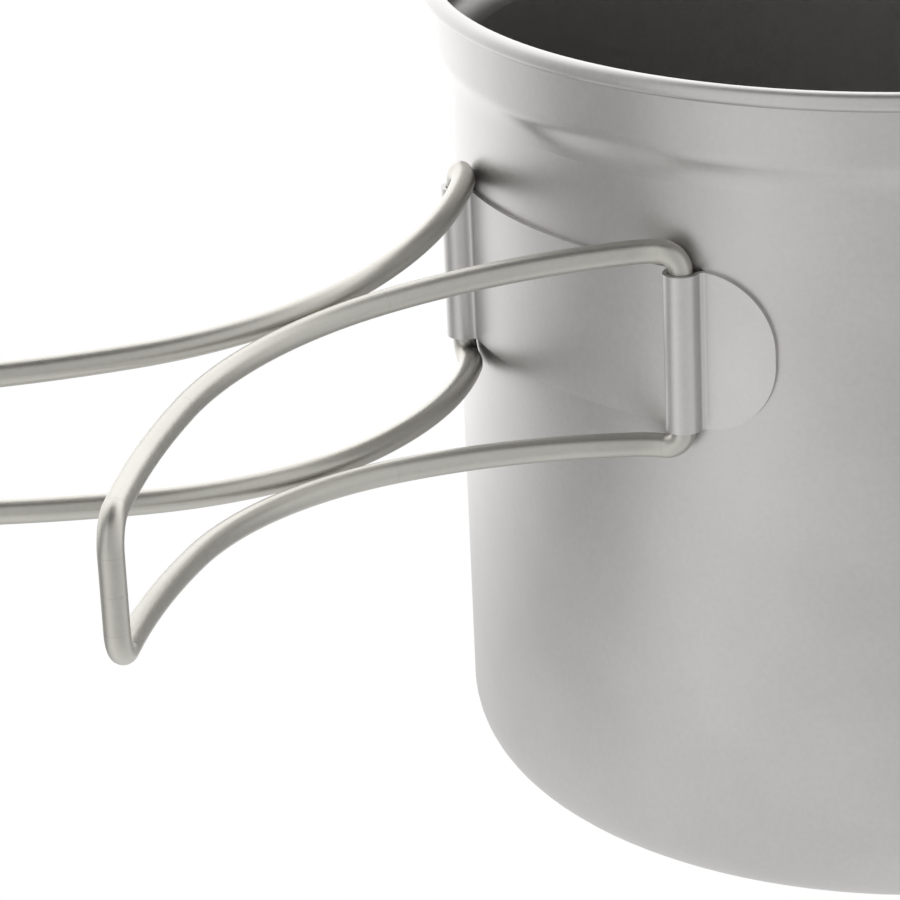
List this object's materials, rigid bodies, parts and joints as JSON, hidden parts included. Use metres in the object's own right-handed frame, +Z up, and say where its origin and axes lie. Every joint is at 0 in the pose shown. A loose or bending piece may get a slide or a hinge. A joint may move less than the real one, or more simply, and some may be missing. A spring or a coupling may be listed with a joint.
{
  "type": "camping cook pot",
  "caption": "Deep round cooking pot for camping, with a rolled rim, a wider collar and two folding wire handles on a welded hinge strap.",
  "frame": {"origin": "middle of the base's underside", "axes": "+Z up, along the pot's axis; -X towards the handles"},
  "size_m": [0.2039, 0.1228, 0.1065],
  "materials": {
    "shell_titanium": "bare titanium sheet, bead-blasted satin",
    "strap_titanium": "bare titanium sheet, bead-blasted satin",
    "weld_titanium": "bare titanium weld nugget",
    "wire_titanium": "bare titanium wire, bead-blasted satin"
  },
  "bodies": {
    "pot": {"pot_shell": "shell_titanium", "hinge_strap": "strap_titanium", "spot_welds": "weld_titanium"},
    "right_handle": {"right_handle": "wire_titanium"},
    "left_handle": {"left_handle": "wire_titanium"}
  },
  "joints": [
    {"name": "right_handle_fold", "type": "hinge", "parent": "pot", "child": "right_handle", "pos_m": [-0.05552, -0.02153, 0.073], "axis": [0, 0, 1], "range_deg": [0, 143]},
    {"name": "left_handle_fold", "type": "hinge", "parent": "pot", "child": "left_handle", "pos_m": [-0.05552, 0.02153, 0.073], "axis": [0, 0, -1], "range_deg": [0, 157]}
  ]
}
